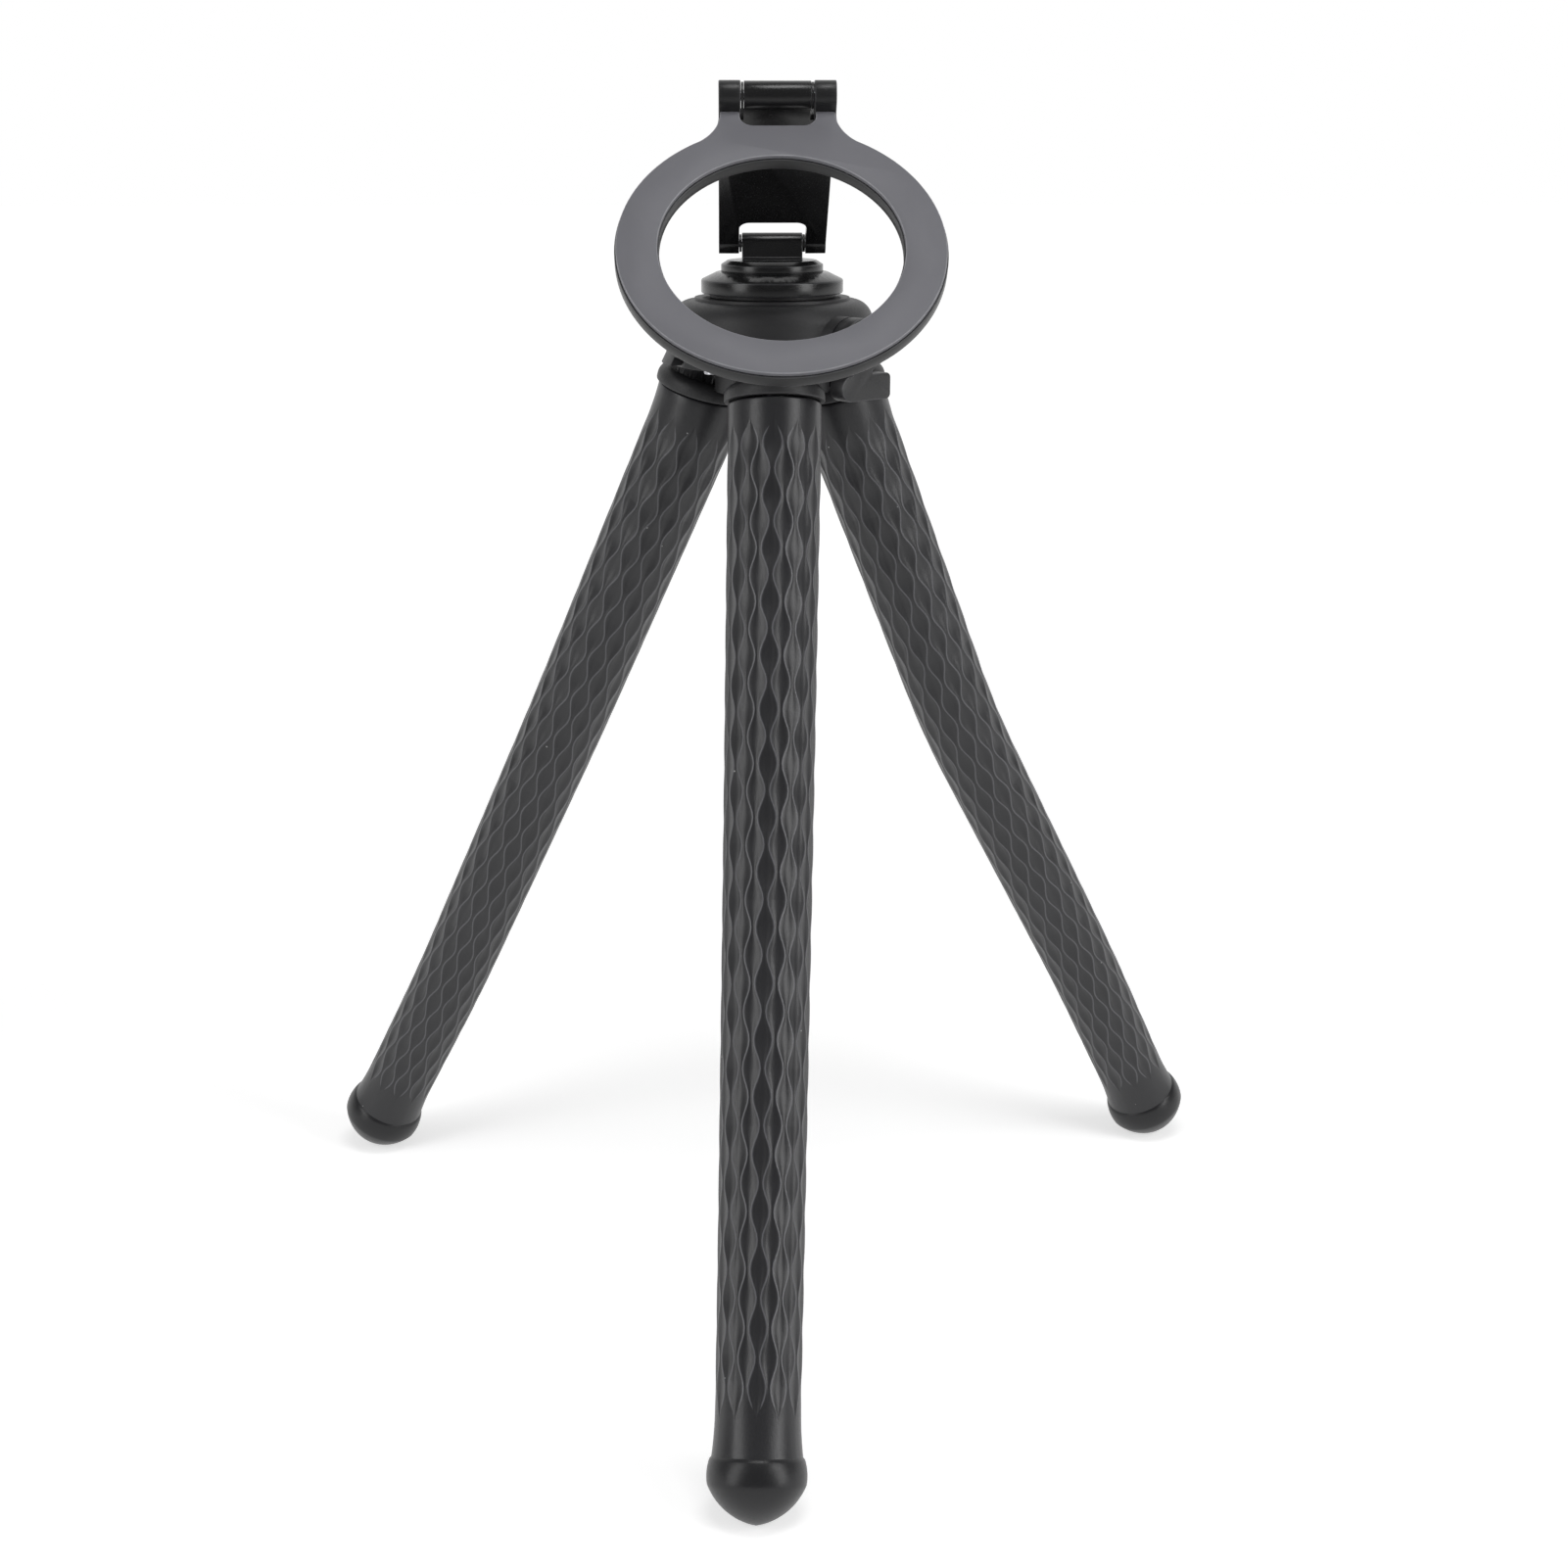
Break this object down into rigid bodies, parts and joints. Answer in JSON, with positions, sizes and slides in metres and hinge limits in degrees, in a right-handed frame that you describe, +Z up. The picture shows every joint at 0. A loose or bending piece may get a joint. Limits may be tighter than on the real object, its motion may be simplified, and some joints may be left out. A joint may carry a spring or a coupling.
{
  "type": "flexible leg tripod",
  "caption": "Small tripod with bendable rubber legs and round feet, a swivelling hub with a side lock lever, and a folding arm that carries a hinged magnetic phone ring.",
  "frame": {"origin": "on the ground under the swivel axis, with the stand on its feet", "axes": "+Z up along the swivel axis, -Y the way the magnetic ring faces, +X the right-hand side seen from in front"},
  "size_m": [0.2029, 0.174, 0.2456],
  "materials": {
    "sleeve_rubber": "matte dark grey, moulded with rows of shallow hollows",
    "foot_rubber": "matte dark grey",
    "core_wire": "dull drawn wire",
    "hub_plastic": "fine grain, dark grey",
    "lever_plastic": "satin black",
    "black_metal": "satin black with bevelled edges",
    "ring_black": "satin black",
    "face_grey": "satin grey",
    "nickel": "nickel plated",
    "steel": "plain",
    "black_screw": "blackened",
    "brass": "plain",
    "pad_plastic": "dull"
  },
  "bodies": {
    "hub": {"leg_hub": "hub_plastic", "dome": "hub_plastic", "hub_screws": "steel", "swivel_bush": "brass", "leg_anchors": "steel", "brake_shoe": "pad_plastic"},
    "lever": {"lock_lever": "lever_plastic", "lock_screw": "steel", "lever_screw": "black_screw"},
    "swivel": {"swivel_disc": "black_metal", "friction_pad": "pad_plastic", "swivel_spindle": "steel", "spindle_washer": "steel", "spindle_nut": "steel", "hinge_base": "black_metal", "lower_hinge_pin": "steel", "lower_hinge_washers": "steel"},
    "arm": {"arm_plate": "black_metal"},
    "ring": {"ring_housing": "ring_black", "ring_face": "face_grey", "magnets": "nickel", "yoke_ring": "steel", "upper_hinge_pin": "steel", "upper_hinge_washers": "steel"},
    "front_link_1": {"front_sleeve_1": "sleeve_rubber", "front_core_1": "core_wire"},
    "front_link_2": {"front_sleeve_2": "sleeve_rubber", "front_core_2": "core_wire"},
    "front_link_3": {"front_sleeve_3": "sleeve_rubber", "front_core_3": "core_wire"},
    "front_link_4": {"front_sleeve_4": "sleeve_rubber", "front_core_4": "core_wire"},
    "front_link_5": {"front_sleeve_5": "sleeve_rubber", "front_core_5": "core_wire", "front_foot": "foot_rubber"},
    "right_link_1": {"right_sleeve_1": "sleeve_rubber", "right_core_1": "core_wire"},
    "right_link_2": {"right_sleeve_2": "sleeve_rubber", "right_core_2": "core_wire"},
    "right_link_3": {"right_sleeve_3": "sleeve_rubber", "right_core_3": "core_wire"},
    "right_link_4": {"right_sleeve_4": "sleeve_rubber", "right_core_4": "core_wire"},
    "right_link_5": {"right_sleeve_5": "sleeve_rubber", "right_core_5": "core_wire", "right_foot": "foot_rubber"},
    "left_link_1": {"left_sleeve_1": "sleeve_rubber", "left_core_1": "core_wire"},
    "left_link_2": {"left_sleeve_2": "sleeve_rubber", "left_core_2": "core_wire"},
    "left_link_3": {"left_sleeve_3": "sleeve_rubber", "left_core_3": "core_wire"},
    "left_link_4": {"left_sleeve_4": "sleeve_rubber", "left_core_4": "core_wire"},
    "left_link_5": {"left_sleeve_5": "sleeve_rubber", "left_core_5": "core_wire", "left_foot": "foot_rubber"}
  },
  "joints": [
    {"name": "swivel", "type": "hinge", "parent": "hub", "child": "swivel", "pos_m": [0, 0, 0.20526], "axis": [0, 0, 1], "continuous": true},
    {"name": "lever", "type": "hinge", "parent": "hub", "child": "lever", "pos_m": [0, 0, 0.19736], "axis": [0.6428, -0.766, 0], "range_deg": [0, 75]},
    {"name": "arm_hinge", "type": "hinge", "parent": "swivel", "child": "arm", "pos_m": [0, 0, 0.21556], "axis": [1, 0, 0], "range_deg": [-143, 36]},
    {"name": "ring_hinge", "type": "hinge", "parent": "arm", "child": "ring", "pos_m": [0, -0.03693, 0.24299], "axis": [-1, 0, 0], "range_deg": [-25, 200]},
    {"name": "front_bend_1", "type": "hinge", "parent": "hub", "child": "front_link_1", "pos_m": [0, -0.0173, 0.1818], "axis": [-0.9978, 0.0663, 0], "range_deg": [-20, 37]},
    {"name": "front_bend_2", "type": "hinge", "parent": "front_link_1", "child": "front_link_2", "pos_m": [-0.00106, -0.03333, 0.14736], "axis": [0.0601, 0.9043, -0.4226], "range_deg": [-40, 40]},
    {"name": "front_bend_3", "type": "hinge", "parent": "front_link_2", "child": "front_link_3", "pos_m": [-0.00213, -0.04935, 0.11292], "axis": [0.9978, -0.0663, 0], "range_deg": [-40, 40]},
    {"name": "front_bend_4", "type": "hinge", "parent": "front_link_3", "child": "front_link_4", "pos_m": [-0.00329, -0.0668, 0.07918], "axis": [0.0588, 0.8859, -0.4602], "range_deg": [-40, 40]},
    {"name": "front_bend_5", "type": "hinge", "parent": "front_link_4", "child": "front_link_5", "pos_m": [-0.00445, -0.08425, 0.04545], "axis": [0.9978, -0.0663, 0], "range_deg": [-40, 40]},
    {"name": "right_bend_1", "type": "hinge", "parent": "hub", "child": "right_link_1", "pos_m": [0.01499, 0.00865, 0.1818], "axis": [0.4787, -0.878, 0], "range_deg": [-20, 37]},
    {"name": "right_bend_2", "type": "hinge", "parent": "right_link_1", "child": "right_link_2", "pos_m": [0.02826, 0.01589, 0.14694], "axis": [-0.8055, -0.4392, -0.3979], "range_deg": [-40, 40]},
    {"name": "right_bend_3", "type": "hinge", "parent": "right_link_2", "child": "right_link_3", "pos_m": [0.04154, 0.02313, 0.11208], "axis": [-0.4787, 0.878, 0], "range_deg": [-40, 40]},
    {"name": "right_bend_4", "type": "hinge", "parent": "right_link_3", "child": "right_link_4", "pos_m": [0.05814, 0.03218, 0.07912], "axis": [-0.7615, -0.4152, -0.4977], "range_deg": [-40, 40]},
    {"name": "right_bend_5", "type": "hinge", "parent": "right_link_4", "child": "right_link_5", "pos_m": [0.07475, 0.04124, 0.04616], "axis": [-0.4787, 0.878, 0], "range_deg": [-40, 40]},
    {"name": "left_bend_1", "type": "hinge", "parent": "hub", "child": "left_link_1", "pos_m": [-0.01499, 0.00865, 0.1818], "axis": [0.471, 0.8821, 0], "range_deg": [-20, 37]},
    {"name": "left_bend_2", "type": "hinge", "parent": "left_link_1", "child": "left_link_2", "pos_m": [-0.02963, 0.01647, 0.14762], "axis": [0.7935, -0.4237, -0.4369], "range_deg": [-40, 40]},
    {"name": "left_bend_3", "type": "hinge", "parent": "left_link_2", "child": "left_link_3", "pos_m": [-0.04428, 0.02429, 0.11344], "axis": [-0.471, -0.8821, 0], "range_deg": [-40, 40]},
    {"name": "left_bend_4", "type": "hinge", "parent": "left_link_3", "child": "left_link_4", "pos_m": [-0.05945, 0.03239, 0.07955], "axis": [0.7866, -0.42, -0.4526], "range_deg": [-40, 40]},
    {"name": "left_bend_5", "type": "hinge", "parent": "left_link_4", "child": "left_link_5", "pos_m": [-0.07462, 0.04049, 0.04567], "axis": [-0.471, -0.8821, 0], "range_deg": [-40, 40]}
  ]
}
